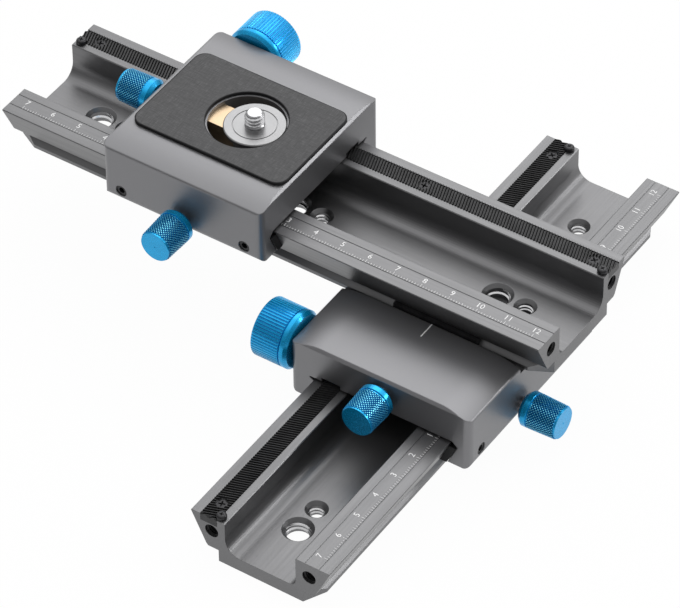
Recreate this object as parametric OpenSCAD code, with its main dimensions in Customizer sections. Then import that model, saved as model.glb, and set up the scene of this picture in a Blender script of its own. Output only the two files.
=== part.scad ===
// Cross focusing rail: two equal dovetail slides, each moved by a rack and pinion, one clamped on the other.
// Each slide is drawn in its own frame: x along the rail from its middle large thread, y across
// towards the rack, z up from the underside of the foot. The lower slide's thread is the origin.

/* [Rail] */
// Length of each rail
rail_l = 200; // [170:1:230]
// Distance from a rail's near end to its middle large thread
rail_near = 95; // [90:1:105]
// Width of the rail's top
rail_w = 50; // [48:0.5:54]
// Height of the rail
rail_h = 17; // [16:0.5:19]
// Width across the lower tips of the wings
wing_tip_w = 39.2; // [38.4:0.1:41]
// Height of the wings' underside
wing_z = 4.6; // [4.2:0.1:5]
// Height of the bevel on the wings' lower tips
wing_bevel = 0.65; // [0.3:0.05:1]
// Width of the dovetail foot
foot_w = 38; // [37:0.1:39]
// Height of the upright edge of the foot
foot_land = 1.3; // [1:0.1:1.6]
// Length of the slanting cuts at the foot's corners
foot_cut_l = 7.2; // [4:0.2:10]
// Width of the slanting cuts at the foot's corners
foot_cut_w = 3.8; // [2:0.1:5]
// Width of the channel along the rail
channel_w = 25.4; // [22:0.2:26]
// Thickness of the channel's floor
floor_t = 5; // [4.5:0.1:6]
// Radius where the channel's floor meets its wall on the rack side
channel_r = 5.3; // [3:0.1:6]
// Radius where the channel's floor meets its wall on the scale side
channel_small_r = 2.6; // [1.5:0.1:4]
// Bevel on the rail's upper edges
rail_edge = 0.3; // [0.1:0.05:0.5]
// Width of the two fine grooves that frame the scale
scale_groove_w = 0.25; // [0.15:0.05:0.5]
// Depth of those grooves
scale_groove_d = 0.15; // [0.1:0.05:0.3]
// Distance of the inner fine groove from the channel's wall
scale_in = 3.4; // [3:0.1:4]
// Distance between the two fine grooves
scale_band = 5; // [4:0.1:6]

/* [Threads and bores of the rail] */
// Wall radius of the three large tripod threads
big_thread_r = 3.97; // [3.8:0.01:4.1]
// Distance between the large threads
big_thread_pitch = 75; // [60:1:80]
// Radius at the mouth of a large thread
big_mouth_r = 5.1; // [4.6:0.1:5.4]
// Wall radius of the three small tripod threads
small_thread_r = 2.55; // [2.4:0.01:2.7]
// Distance from each large thread to its small one
small_thread_shift = 10; // [9.5:0.1:12]
// Radius at the mouth of a small thread
small_mouth_r = 3.7; // [3.2:0.1:4]
// Radius of the bores in the rail's ends
end_bore_r = 2.4; // [2:0.1:2.6]
// Depth of the end bores
end_bore_l = 15; // [8:1:25]
// Distance of an end bore from the channel's wall
end_bore_in = 4.8; // [4:0.1:5.2]
// Depth of an end bore's axis below the rail's top
end_bore_drop = 5.35; // [5.2:0.05:6]

/* [Rack] */
// Distance between teeth, along the rail
rack_pitch = 1.02; // [0.8:0.01:1.2]
// Slant of the teeth, seen from above, in degrees
rack_slant = 19; // [0:1:25]
// Width of the rack
rack_w = 6; // [5:0.1:6.4]
// Thickness of the rack, with its teeth
rack_t = 3; // [2.6:0.1:3.2]
// Height of the teeth's tips above the rail
rack_proud = 0.4; // [0.2:0.05:0.6]
// Wall between the channel and the rack's groove
rack_wall = 2.8; // [2.4:0.1:3.2]
// Pressure angle of the teeth, in degrees
pressure_angle = 20; // [14.5:0.5:25]
// Number of screws that hold the rack
rack_screws = 4; // [2:1:6]
// Distance of the outer rack screws from the rail's ends
rack_screw_inset = 7; // [6:0.5:12]
// Head radius of the rack screws
rack_screw_head_r = 1.9; // [1.5:0.1:2.2]
// Shank radius of the rack screws
rack_screw_r = 1; // [0.8:0.05:1.2]
// Length of the rack screws
rack_screw_l = 5.8; // [4:0.1:7]
// Distance of the stop screws from the rail's ends
stop_inset = 2; // [1.9:0.1:3]
// Head radius of the stop screws
stop_head_r = 1.7; // [1.4:0.1:1.9]
// Head height of the stop screws
stop_head_h = 1.6; // [1.3:0.1:1.8]
// Shank radius of the stop screws
stop_r = 0.9; // [0.7:0.05:1.1]
// Shank length of the stop screws
stop_l = 6; // [4:0.5:8]
// How far a stop screw's head reaches clear of the rack's recess in the carriage
stop_catch = 1.7; // [1:0.1:2]

/* [Carriages] */
// Distance of a carriage's scale side from the rail's edge
skirt_t = 6.7; // [6.2:0.1:7.2]
// Distance of a carriage's rack side from the rail's edge
rack_skirt_t = 8.6; // [8.2:0.1:9]
// Height of a carriage's top above the rail's top
car_rise = 13.5; // [13.2:0.1:15]
// How far the skirts hang below the rail's top
skirt_drop = 8.5; // [8:0.1:9]
// Gap between the rail's top and the carriage's roof
roof_gap = 0.9; // [0.7:0.05:1.2]
// Width over which a carriage's top falls off towards each side
crown_w = 11; // [9:0.1:12]
// How far it falls there
crown_drop = 2; // [1.6:0.1:2.2]
// Radius of a carriage's upper edges
shoulder_r = 1; // [0.6:0.1:1.4]
// Radius of the skirts' lower edges
skirt_r = 2.5; // [1:0.1:3]
// Radius of a carriage's upright corners
corner_r = 2.4; // [1:0.1:3]
// Bevel round the ends of a carriage's top
car_bevel = 0.9; // [0.4:0.1:1.5]
// Length of the upper carriage
upper_car_l = 60; // [58:0.5:66]
// Distance from the lower carriage's screw pattern to its rear face
lower_car_rear = 42.4; // [41.5:0.1:46]
// Place of the lower carriage's screw pattern on its rail
lower_car_x = 0.6; // [-10:0.1:10]
// Place of the upper carriage's middle on its rail
upper_car_x = -20.9; // [-30:0.1:30]
// Thickness of a gib
gib_t = 2.3; // [1.8:0.1:2.6]
// Length of a gib beyond each end of its carriage
gib_out = 0.5; // [0.2:0.1:1]
// Sliding clearance between flat faces
slide_gap = 0.12; // [0.08:0.01:0.2]
// Distance of the gib screws from the carriage's near face
gib_screw_inset = 6.8; // [5:0.1:8.8]
// Depth of the gib screws below the rail's top
gib_screw_drop = 4.3; // [4:0.1:4.8]
// Radius of the gib screws
gib_screw_r = 2; // [1.6:0.1:2.2]
// Depth of the lock spindles below the rail's top
lock_drop = 5; // [4.8:0.1:5.4]

/* [Clamp for the upper rail] */
// Distance from the screw pattern to the middle of the upper rail's foot
clamp_x = 19.8; // [19.6:0.1:20.4]
// Depth of the clamp's channel
clamp_depth = 3.9; // [3.6:0.1:4.2]
// Place of the upper rail's middle thread across the lower rail
upper_rail_x = -65; // [-100:1:-20]
// Length of the jaw
jaw_l = 30.4; // [24:0.2:36]
// Thickness of the jaw's foot, below the channel's floor
jaw_t = 5.6; // [5:0.1:6.5]
// Thickness of the jaw beside the rail's foot
jaw_wall = 1.1; // [0.9:0.1:1.2]
// Depth of the jaw's foot below the channel's floor
jaw_deep = 5.6; // [5.2:0.1:6]
// Clearance between the jaw's top and the rail's wings
jaw_top_gap = 0.3; // [0.2:0.1:0.9]
// Travel of the jaw
jaw_travel = 0.9; // [0.5:0.1:1]

/* [Focus drive] */
// Number of teeth on a pinion
pinion_teeth = 32; // [24:1:32]
// Width of a pinion
pinion_w = 5.2; // [4:0.1:5.4]
// Play between the teeth
backlash = 0.1; // [0.08:0.01:0.16]
// Distance of the lower pinion shaft from its carriage's near face
focus_inset = 7.7; // [7:0.1:8]
// Distance of the upper pinion shaft from its carriage's near face
upper_focus_inset = 11.8; // [11:0.1:12.4]
// Radius of the shaft's outer journal
journal_r = 3; // [2.6:0.1:3.2]
// Radius of the shaft's inner journal
inner_journal_r = 2.5; // [2:0.1:2.6]
// Wall of the bushes
bush_wall = 1.3; // [1:0.1:1.4]
// Length of the inner bush
inner_bush_l = 5.5; // [4:0.1:6]
// Play of a shaft in its bush
fit_gap = 0.04; // [0.03:0.01:0.06]
// Radius of a focus knob
focus_knob_r = 9.85; // [8.5:0.05:10]
// Length of a focus knob
focus_knob_l = 13; // [12:0.1:18]
// Length of its smooth band
focus_band_l = 2.4; // [1.5:0.1:3]
// Length of the bevel on its smooth band
focus_bevel = 1; // [0.5:0.1:1.4]
// Number of flutes round it
flutes = 60; // [40:1:72]
// Depth of the flutes
flute_d = 0.35; // [0.2:0.05:0.45]
// Bevel at its outer end
focus_end_bevel = 0.5; // [0.3:0.1:1]
// Gap between the carriage's side and the knob
focus_gap = 0.5; // [0.4:0.1:1]

/* [Small knobs] */
// Radius of a small knob
small_knob_r = 5.85; // [5:0.05:6.2]
// Radius at a small knob's outer end
small_knob_end_r = 5.55; // [4.8:0.05:6]
// Radius at a small knob's root
small_knob_root_r = 4.75; // [4:0.05:5.5]
// Length of a lock knob
lock_knob_l = 13.3; // [11:0.1:15]
// Length of a clamp knob
clamp_knob_l = 12.5; // [11:0.1:15]
// Length of the smooth collar on a small knob
small_collar_l = 3; // [2.4:0.1:4]
// Length of the cone at a small knob's root
small_root_l = 1.2; // [0.6:0.1:2]
// Gap between a carriage and a small knob
small_knob_gap = 1.4; // [1:0.1:2]
// Radius of the small knobs' spindles
spindle_r = 2.5; // [2:0.1:2.6]
// Radius of the spindles' tips
tip_r = 1.5; // [1.2:0.1:1.7]
// Height of the clamp spindles above the rail's top
clamp_spindle_z = 7; // [6.6:0.1:7]

/* [Camera plate] */
// Length of the pad
pad_l = 57; // [50:0.5:58]
// Width of the pad
pad_w = 39.4; // [36:0.2:46]
// Thickness of the pad
pad_t = 1.1; // [0.8:0.1:1.6]
// Corner radius of the pad
pad_r = 4; // [2:0.5:8]
// Distance of the pad's middle from the carriage's middle
pad_x = 0.8; // [0:0.1:1]
// Radius of the hole in the pad
pad_hole_r = 13.1; // [12.8:0.1:14]
// Radius of the pocket under it
pocket_r = 12.5; // [12.2:0.1:12.8]
// Distance of the pocket from the carriage's middle
pocket_x = 3.1; // [2:0.1:4]
// Height of the pocket's floor above the rail's top
pocket_z = 3.5; // [3:0.1:4]
// Radius of the plate's flange
plate_r = 10; // [9.6:0.1:10.4]
// Thickness of the flange
plate_flange_t = 0.7; // [0.5:0.1:1]
// Radius of the plate's body
plate_body_r = 9.4; // [9:0.1:9.5]
// Thickness of the plate's body
plate_body_t = 1.3; // [1:0.1:1.5]
// Radius of the plate's spigot
plate_spigot_r = 7; // [6:0.1:7.4]
// Radius of the turned ring on the plate
plate_ring_r = 7.05; // [6:0.05:8]
// Width and depth of the turned ring
plate_ring_w = 0.3; // [0.2:0.05:0.5]
// Radius of the camera screw
camera_screw_r = 3.175; // [3:0.005:3.3]
// Height of the camera screw above the plate
camera_screw_h = 5; // [4.5:0.1:5.5]
// Bevel at the camera screw's tip
camera_screw_bevel = 0.9; // [0.5:0.1:1.2]
// Width of the brass clamp block
block_w = 9.4; // [8.8:0.1:10]
// Height of the block's top above the rail's top
block_top = 12; // [11.8:0.05:12.1]
// Length of the brass clamp block
block_l = 12; // [11:0.1:13]
// Travel of the brass clamp block
block_travel = 2.5; // [1.5:0.1:2.8]

/* [Hidden] */
// Overrun of every cut
over = 1;
// Facets of the round pieces, and steps of each arc in an outline
$fn = 64;
arc_steps = 12;

// Rail: half widths, heights and the slope of its flanks
top_y = rail_w / 2;
tip_y = wing_tip_w / 2;
foot_y = foot_w / 2;
neck_y = foot_y - (wing_z - foot_land);
chan_y = channel_w / 2;
tip_z = wing_z + wing_bevel;
flank = (top_y - tip_y) / (rail_h - tip_z);
flank_cos = cos(atan(flank));
rail_far = rail_l - rail_near;
scale_y = chan_y + scale_in;
end_bore_y = chan_y + end_bore_in;
end_bore_z = rail_h - end_bore_drop;

// Rack and pinion: tooth heights as shares of the pitch
addendum_share = 0.294;
dedendum_share = 0.368;
rack_y = chan_y + rack_wall + rack_w / 2;
rack_top = rail_h + rack_proud;
rack_seat = rack_top - rack_t;
addendum = rack_pitch * addendum_share;
dedendum = rack_pitch * dedendum_share;
pitch_z = rack_top - addendum;
pinion_r = pinion_teeth * rack_pitch / (2 * PI);
pinion_z = pitch_z + pinion_r;
// Top of the rack screws' heads, at the roots of the teeth
rack_screw_z = pitch_z - dedendum;
rack_head_t = rack_screw_head_r - rack_screw_r;
// Places of the rack's screws
rack_screw_step = (rail_l - 2 * rack_screw_inset) / (rack_screws - 1);
rack_screw_places = [for (i = [0:rack_screws - 1]) rack_screw_inset + i * rack_screw_step - rail_near];
// Clearance of the rack in its groove and of the screws in their holes
rack_slip = 0.05;
hole_slip = 0.05;
// Clearance round a stop screw's head, in the rack's corner
stop_slip = 0.15;

// Carriages: sides, top, bottom and the space for the rail
lower_car_front = upper_car_l / 2;
gib_screw_x = lower_car_front - gib_screw_inset;
focus_x = lower_car_front - focus_inset;
upper_focus_x = upper_car_l / 2 - upper_focus_inset;
car_y = top_y + skirt_t;
rack_side_y = top_y + rack_skirt_t;
car_top = rail_h + car_rise;
car_bottom = rail_h - skirt_drop;
roof_z = rail_h + roof_gap;
// Large circle of the crowned top, its middle crown_w inside each side, and the edge's small circle in it
crown_r = (crown_w * crown_w + crown_drop * crown_drop) / (2 * crown_drop);
crown_z = car_top - crown_r;
crown_turn = acos((crown_w - shoulder_r) / (crown_r - shoulder_r));
shoulder_z = crown_z + (crown_r - shoulder_r) * sin(crown_turn);
// Recess in the roof over the rack: its height over the rail and its clearance beside the rack
recess_rise = 2.3;
recess_side = 0.4;
recess_z = rail_h + recess_rise;
recess_in = rack_y - rack_w / 2 - recess_side;
recess_out = rack_y + rack_w / 2 + recess_side;
stop_y = recess_in + stop_head_r - stop_catch;
// Corner of that space on the rack side: wall left in the skirt, rise and drop from the rail's top
corner_wall = 7.2;
corner_rise = 0.4;
corner_drop = 0.6;
// Space for the gib: its sideways width, and the drop of its top below the rail's top
gib_room = (gib_t + 2 * slide_gap) / flank_cos;
gib_drop = 1;
flank_gap = slide_gap / flank_cos;
// Gap between a screw's tip and the gib
tip_gap = 0.1;
gib_tip_r = 1.2;
gib_screw_sunk = 0.4;
socket_r = 1.15;
socket_l = 1.5;
socket_sides = 6;

// Clamp in the lower carriage, in the lower slide's frame
clamp_mid = lower_car_x + clamp_x;
clamp_floor = car_top - clamp_depth;
clamp_gap = 0.1;
foot_front = clamp_mid - foot_y;
foot_rear = clamp_mid + foot_y;
jaw_face = foot_front - clamp_gap - jaw_wall;
clamp_front = jaw_face - jaw_travel - 2 * clamp_gap;
jaw_back = jaw_face + jaw_t;
jaw_bottom = clamp_floor - jaw_deep;
jaw_top = clamp_floor + wing_z - jaw_top_gap;
jaw_rise = jaw_top - clamp_floor - foot_land;
clamp_axis = rail_h + clamp_spindle_z;

// Focus drive; the outer bush runs from the rail's edge to where the carriage's upper edge turns down
pinion_bore_gap = 0.4;
bush_rail_gap = 0.4;
bush_start = top_y + bush_rail_gap;
pinion_bore_r = pinion_r + addendum + pinion_bore_gap;
bush_face = rack_side_y - shoulder_r;
pinion_side_gap = 0.7;
bore_end = rack_y - pinion_w / 2 - pinion_side_gap;
knob_grip = 10;
shaft_end = rack_side_y + focus_gap + knob_grip;
groove_l = 0.5;
flute_land_share = 0.25;
flute_rise_share = 0.12;

// Small knobs and their spindles
knob_bore_l = 8;
small_end_bevel = 0.35;
small_groove = 0.2;
tip_l = 3.5;
lock_z = rail_h - lock_drop;

// Camera plate, in the upper slide's frame
plate_gap = 0.1;
pocket_mid = upper_car_x + pocket_x;
plate_mid = pocket_mid + pocket_r - plate_body_r - plate_gap;
pocket_floor = rail_h + pocket_z;
plate_seat = pocket_floor + plate_gap;
plate_top = car_top + plate_flange_t;
spigot_top = car_top - plate_body_t;
nose_r = plate_spigot_r + plate_gap;
block_back = plate_mid - nose_r - block_l;
block_bottom = pocket_floor + plate_gap;
block_z = rail_h + block_top;
screw_head_r = 4.9;
screw_head_l = 1.8;
shank_r = 2.6;
slot_w = 1.2;
slot_d = 0.9;

// How far sideways the flank lies at a height, and the outer face of the gib there
function flank_y(z) = top_y - (rail_h - z) * flank;
function gib_face_y(z) = flank_y(z) + (slide_gap + gib_t) / flank_cos;

// Points of an arc about c, from angle a0 to a1
function arc(c, r, a0, a1) =
    [for (i = [0:arc_steps]) c + r * [cos(a0 + (a1 - a0) * i / arc_steps),
                                      sin(a0 + (a1 - a0) * i / arc_steps)]];

// Outline in y and z, drawn out along x from x0 to x1
module along_x(x0, x1) {
    translate([x0, 0, 0])
        rotate([90, 0, 90])
            linear_extrude(height = x1 - x0)
                children();
}

// Outline in x and z, drawn out along y from y0 to y1
module along_y(y0, y1) {
    translate([0, y1, 0])
        rotate([90, 0, 0])
            linear_extrude(height = y1 - y0)
                children();
}

// Round rod along x from x0 to x1
module rod_x(x0, x1, y, z, r) {
    translate([x0, y, z])
        rotate([0, 90, 0])
            cylinder(h = x1 - x0, r = r);
}

// Round rod along y from y0 to y1
module rod_y(x, y0, y1, z, r) {
    translate([x, y0, z])
        rotate([-90, 0, 0])
            cylinder(h = y1 - y0, r = r);
}

// Rectangle from x0 to x1 and y0 to y1 with round corners
module round_rect(x0, x1, y0, y1, r) {
    polygon(concat(arc([x1 - r, y0 + r], r, -90, 0),
                   arc([x1 - r, y1 - r], r, 0, 90),
                   arc([x0 + r, y1 - r], r, 90, 180),
                   arc([x0 + r, y0 + r], r, 180, 270)));
}

// Rail: the drawn section, seen from the far end with the rack on the right
module rail_section() {
    polygon(concat(
        [[-foot_y, 0], [foot_y, 0], [foot_y, foot_land], [neck_y, wing_z],
         [tip_y - wing_bevel, wing_z], [tip_y, tip_z],
         [flank_y(rail_h - rail_edge), rail_h - rail_edge], [top_y - rail_edge, rail_h],
         [rack_y + rack_w / 2 + rack_slip, rail_h], [rack_y + rack_w / 2 + rack_slip, rack_seat],
         [rack_y - rack_w / 2 - rack_slip, rack_seat], [rack_y - rack_w / 2 - rack_slip, rail_h],
         [chan_y + rail_edge, rail_h], [chan_y, rail_h - rail_edge]],
        arc([chan_y - channel_r, floor_t + channel_r], channel_r, 0, -90),
        arc([-chan_y + channel_small_r, floor_t + channel_small_r], channel_small_r, -90, -180),
        [[-chan_y, rail_h - rail_edge], [-chan_y - rail_edge, rail_h]],
        scale_groove(scale_y),
        scale_groove(scale_y + scale_band),
        [[-top_y + rail_edge, rail_h], [-flank_y(rail_h - rail_edge), rail_h - rail_edge],
         [-tip_y, tip_z], [-tip_y + wing_bevel, wing_z], [-neck_y, wing_z], [-foot_y, foot_land]]));
}

// One fine groove of the scale, as points of the rail's section
function scale_groove(y) = [[-y + scale_groove_w / 2, rail_h],
                            [-y + scale_groove_w / 2, rail_h - scale_groove_d],
                            [-y - scale_groove_w / 2, rail_h - scale_groove_d],
                            [-y - scale_groove_w / 2, rail_h]];

// Corner of the foot that is cut off aslant; sx and sy name the corner
module foot_corner(sx, sy) {
    x = sx > 0 ? rail_far : -rail_near;
    translate([0, 0, -over])
        linear_extrude(height = wing_z + over)
            polygon([[x + sx * over, sy * (foot_y + over)],
                     [x - sx * foot_cut_l * (1 + over / foot_cut_w), sy * (foot_y + over)],
                     [x, sy * (foot_y - foot_cut_w)],
                     [x + sx * over, sy * (foot_y - foot_cut_w)]]);
}

// Tripod thread through the floor, with its bevelled mouth in the channel
module tripod_hole(x, r, mouth_r) {
    translate([x, 0, -over])
        cylinder(h = floor_t + 2 * over, r = r);
    translate([x, 0, floor_t - (mouth_r - r)])
        cylinder(h = mouth_r - r + over, r1 = r, r2 = mouth_r + over);
}

module rail() {
    difference() {
        along_x(-rail_near, rail_far)
            rail_section();
        for (sx = [-1, 1], sy = [-1, 1])
            foot_corner(sx, sy);
        for (i = [-1:1]) {
            tripod_hole(i * big_thread_pitch, big_thread_r, big_mouth_r);
            tripod_hole(i * big_thread_pitch + small_thread_shift, small_thread_r, small_mouth_r);
        }
        for (sy = [-1, 1]) {
            rod_x(-rail_near - over, -rail_near + end_bore_l, sy * end_bore_y, end_bore_z, end_bore_r);
            rod_x(rail_far - end_bore_l, rail_far + over, sy * end_bore_y, end_bore_z, end_bore_r);
        }
        for (x = rack_screw_places)
            translate([x, rack_y, rack_screw_z - rack_screw_l - over])
                cylinder(h = rack_screw_l + over, r = rack_screw_r + hole_slip);
        for (x = [-rail_near + stop_inset, rail_far - stop_inset])
            translate([x, stop_y, rail_h - stop_l - over])
                cylinder(h = stop_l + 2 * over, r = stop_r + hole_slip);
    }
}

// Rack: teeth drawn along their own slant, cut to the blank
module rack_teeth() {
    step = rack_pitch * cos(rack_slant);
    half = (rack_pitch / 4 - backlash / 2) * cos(rack_slant);
    lean = tan(pressure_angle) * cos(rack_slant);
    count = ceil(rail_l / rack_pitch) + 2;
    reach = rack_w + over;
    translate([-rail_near + rack_pitch / 2, rack_y, pitch_z])
        rotate([0, 0, rack_slant])
            along_y(-rail_l * sin(rack_slant) - reach, reach)
                polygon(concat(
                    [for (k = [-2:count],
                          p = [[-half - dedendum * lean, -dedendum], [-half + addendum * lean, addendum],
                               [half - addendum * lean, addendum], [half + dedendum * lean, -dedendum]])
                        [k * step + p[0], p[1]]],
                    [[(count + 1) * step, -rack_t - over], [-3 * step, -rack_t - over]]));
}

module rack() {
    difference() {
        intersection() {
            translate([-rail_near, rack_y - rack_w / 2, rack_seat])
                cube([rail_l, rack_w, rack_t]);
            rack_teeth();
        }
        for (x = rack_screw_places) {
            translate([x, rack_y, rack_seat - over])
                cylinder(h = rack_t + 2 * over, r = rack_screw_r + hole_slip);
            translate([x, rack_y, rack_screw_z - rack_head_t])
                cylinder(h = rack_head_t, r1 = rack_screw_r + hole_slip, r2 = rack_screw_head_r + hole_slip);
            translate([x, rack_y, rack_screw_z])
                cylinder(h = rack_top + over - rack_screw_z, r = rack_screw_head_r + hole_slip);
        }
        for (x = [-rail_near + stop_inset, rail_far - stop_inset])
            translate([x, stop_y, rack_seat - over])
                cylinder(h = rack_t + 2 * over, r = stop_head_r + stop_slip);
    }
}

module rack_screw_set() {
    for (x = rack_screw_places)
        translate([x, rack_y, rack_screw_z]) {
            translate([0, 0, -rack_screw_l])
                cylinder(h = rack_screw_l, r = rack_screw_r);
            translate([0, 0, -rack_head_t])
                cylinder(h = rack_head_t, r1 = rack_screw_r, r2 = rack_screw_head_r);
        }
}

module stop_screw_set() {
    for (x = [-rail_near + stop_inset, rail_far - stop_inset])
        translate([x, stop_y, rail_h]) {
            translate([0, 0, -stop_l])
                cylinder(h = stop_l + stop_head_h / 2, r = stop_r);
            rotate_extrude()
                polygon(concat([[0, 0], [stop_head_r, 0]],
                               arc([stop_head_r - stop_head_h / 2, stop_head_h / 2], stop_head_h / 2, 0, 90),
                               [[0, stop_head_h]]));
        }
}

// Carriage: section round the rail, cut to its plan and its bevelled ends
module carriage_body(x0, x1) {
    gib_z = rail_h - gib_drop;
    gib_y = flank_y(gib_z) + gib_room;
    intersection() {
        along_x(x0, x1)
            polygon(concat(
                [[flank_y(car_bottom) + flank_gap, car_bottom]],
                arc([rack_side_y - skirt_r, car_bottom + skirt_r], skirt_r, -90, 0),
                arc([rack_side_y - shoulder_r, shoulder_z], shoulder_r, 0, crown_turn),
                arc([rack_side_y - crown_w, crown_z], crown_r, crown_turn, 90),
                arc([-car_y + crown_w, crown_z], crown_r, 90, 180 - crown_turn),
                arc([-car_y + shoulder_r, shoulder_z], shoulder_r, 180 - crown_turn, 180),
                arc([-car_y + skirt_r, car_bottom + skirt_r], skirt_r, 180, 270),
                [[-flank_y(car_bottom) - gib_room, car_bottom], [-gib_y, gib_z],
                 [-gib_y + roof_z - gib_z, roof_z], [recess_in, roof_z],
                 [recess_in, recess_z], [recess_out, recess_z], [recess_out, roof_z],
                 [rack_side_y - corner_wall, roof_z], [rack_side_y - corner_wall, rail_h + corner_rise],
                 [flank_y(rail_h - corner_drop) + flank_gap, rail_h - corner_drop]]));
        along_y(-car_y - over, rack_side_y + over)
            polygon([[x0, car_bottom - over], [x1, car_bottom - over], [x1, car_top - car_bevel],
                     [x1 - car_bevel, car_top], [x0 + car_bevel, car_top], [x0, car_top - car_bevel]]);
        translate([0, 0, car_bottom - over])
            linear_extrude(height = car_top - car_bottom + 2 * over)
                round_rect(x0, x1, -car_y, rack_side_y, corner_r);
    }
}

// Bores that both carriages share: focus shaft, lock spindle and gib screws; x is the pattern's middle
module carriage_bores(x, shaft_x) {
    rod_y(shaft_x, bore_end, rack_side_y + over, pinion_z, pinion_bore_r);
    rod_y(shaft_x, bore_end - inner_bush_l, bore_end + over, pinion_z, inner_journal_r + bush_wall);
    rod_y(x, -car_y - over, -top_y + over, lock_z, spindle_r + fit_gap);
    for (s = [-1, 1])
        rod_y(x + s * gib_screw_x, -car_y - over, -top_y + over,
              rail_h - gib_screw_drop, gib_screw_r + fit_gap);
}

module gib(x0, x1) {
    gib_z = rail_h - gib_drop - slide_gap;
    face = gib_t / flank_cos;
    z0 = car_bottom + slide_gap;
    along_x(x0 - gib_out, x1 + gib_out)
        polygon([[-flank_y(z0) - flank_gap, z0], [-flank_y(gib_z) - flank_gap, gib_z],
                 [-flank_y(gib_z) - flank_gap - face, gib_z], [-flank_y(z0) - flank_gap - face, z0]]);
}

module gib_screw_set(x) {
    z = rail_h - gib_screw_drop;
    tip_y = gib_face_y(z + gib_tip_r) + tip_gap;
    body_y = gib_face_y(z + gib_screw_r) + tip_gap;
    for (s = [-1, 1])
        difference() {
            union() {
                rod_y(x + s * gib_screw_x, -car_y + gib_screw_sunk, -body_y, z, gib_screw_r);
                rod_y(x + s * gib_screw_x, -body_y - over, -tip_y, z, gib_tip_r);
            }
            translate([x + s * gib_screw_x, -car_y + gib_screw_sunk - over, z])
                rotate([-90, 0, 0])
                    cylinder(h = socket_l + over, r = socket_r, $fn = socket_sides);
        }
}

// Pinion: helical teeth with involute flanks, in mesh with the rack at the shaft's place
function involute(a) = tan(a) * 180 / PI - a;
function tooth_half(r) = 90 / pinion_teeth - (backlash / 2) * 90 / (PI * pinion_r)
    + involute(pressure_angle) - involute(acos(min(1, pinion_r * cos(pressure_angle) / r)));

module pinion(x) {
    phase = (x + rail_near - rack_pitch / 2) / rack_pitch;
    offset = (round(phase) - phase) * rack_pitch;
    turn = (pinion_w * tan(rack_slant) / pinion_r) * 180 / PI;
    root_r = pinion_r - dedendum;
    tip_r = pinion_r + addendum;
    twist_steps = 4;
    translate([x, rack_y - pinion_w / 2, pinion_z])
        rotate([-90, 0, 0])
            rotate([0, 0, 90 - offset / pinion_r * 180 / PI - turn / 2])
                linear_extrude(height = pinion_w, twist = -turn, slices = twist_steps)
                    polygon([for (k = [0:pinion_teeth - 1],
                                  p = [[-tooth_half(root_r), root_r], [-tooth_half(pinion_r), pinion_r],
                                       [-tooth_half(tip_r), tip_r], [tooth_half(tip_r), tip_r],
                                       [tooth_half(pinion_r), pinion_r], [tooth_half(root_r), root_r]])
                        p[1] * [cos((k + 1 / 2) * 360 / pinion_teeth + p[0]),
                                sin((k + 1 / 2) * 360 / pinion_teeth + p[0])]]);
}

module pinion_shaft(x) {
    pinion(x);
    rod_y(x, rack_y, shaft_end, pinion_z, journal_r);
    rod_y(x, bore_end - inner_bush_l + pinion_side_gap / 2, rack_y, pinion_z, inner_journal_r);
}

module bush_pair(x) {
    difference() {
        rod_y(x, bush_start, bush_face, pinion_z, pinion_bore_r - fit_gap);
        rod_y(x, bush_start - over, bush_face + over, pinion_z, journal_r + fit_gap);
    }
    difference() {
        rod_y(x, bore_end - inner_bush_l + fit_gap, bore_end, pinion_z, inner_journal_r + bush_wall - fit_gap);
        rod_y(x, bore_end - inner_bush_l - over, bore_end + over, pinion_z, inner_journal_r + fit_gap);
    }
}

// Large knob: smooth bevelled band, a groove, and straight flutes to a bevelled end
module fluted_knob() {
    step = 360 / flutes;
    groove_z = focus_band_l + groove_l;
    difference() {
        union() {
            rotate_extrude()
                polygon([[0, 0], [focus_knob_r - focus_bevel, 0], [focus_knob_r, focus_bevel],
                         [focus_knob_r, focus_band_l], [focus_knob_r - 2 * flute_d, focus_band_l],
                         [focus_knob_r - 2 * flute_d, groove_z + groove_l], [0, groove_z + groove_l]]);
            intersection() {
                translate([0, 0, groove_z])
                    linear_extrude(height = focus_knob_l - groove_z)
                        polygon([for (k = [0:flutes - 1],
                                      p = [[-flute_land_share, focus_knob_r], [flute_land_share, focus_knob_r],
                                           [flute_land_share + flute_rise_share, focus_knob_r - flute_d],
                                           [1 - flute_land_share - flute_rise_share, focus_knob_r - flute_d]])
                            p[1] * [cos((k + p[0]) * step), sin((k + p[0]) * step)]]);
                rotate_extrude()
                    polygon([[0, 0], [focus_knob_r + over, 0],
                             [focus_knob_r + over, focus_knob_l - focus_end_bevel - over],
                             [focus_knob_r - focus_end_bevel, focus_knob_l], [0, focus_knob_l]]);
            }
        }
        translate([0, 0, -over])
            cylinder(h = knob_grip + fit_gap + over, r = journal_r + fit_gap);
    }
}

module focus_knob(x) {
    translate([x, rack_side_y + focus_gap, pinion_z])
        rotate([-90, 0, 0])
            fluted_knob();
}

// Small knob: cone at the root, smooth collar, slightly tapered body, bevelled end
module small_knob(l) {
    difference() {
        rotate_extrude()
            polygon([[0, 0], [small_knob_root_r, 0], [small_knob_r, small_root_l],
                     [small_knob_r, small_collar_l], [small_knob_r - small_groove, small_collar_l],
                     [small_knob_r - small_groove, small_collar_l + small_groove],
                     [small_knob_r, small_collar_l + small_groove],
                     [small_knob_end_r, l - small_end_bevel], [small_knob_end_r - small_end_bevel, l], [0, l]]);
        translate([0, 0, -over])
            cylinder(h = knob_bore_l + fit_gap + over, r = spindle_r + fit_gap);
    }
}

module lock_knob(x) {
    translate([x, -car_y - small_knob_gap, lock_z])
        rotate([90, 0, 0])
            small_knob(lock_knob_l);
}

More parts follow.
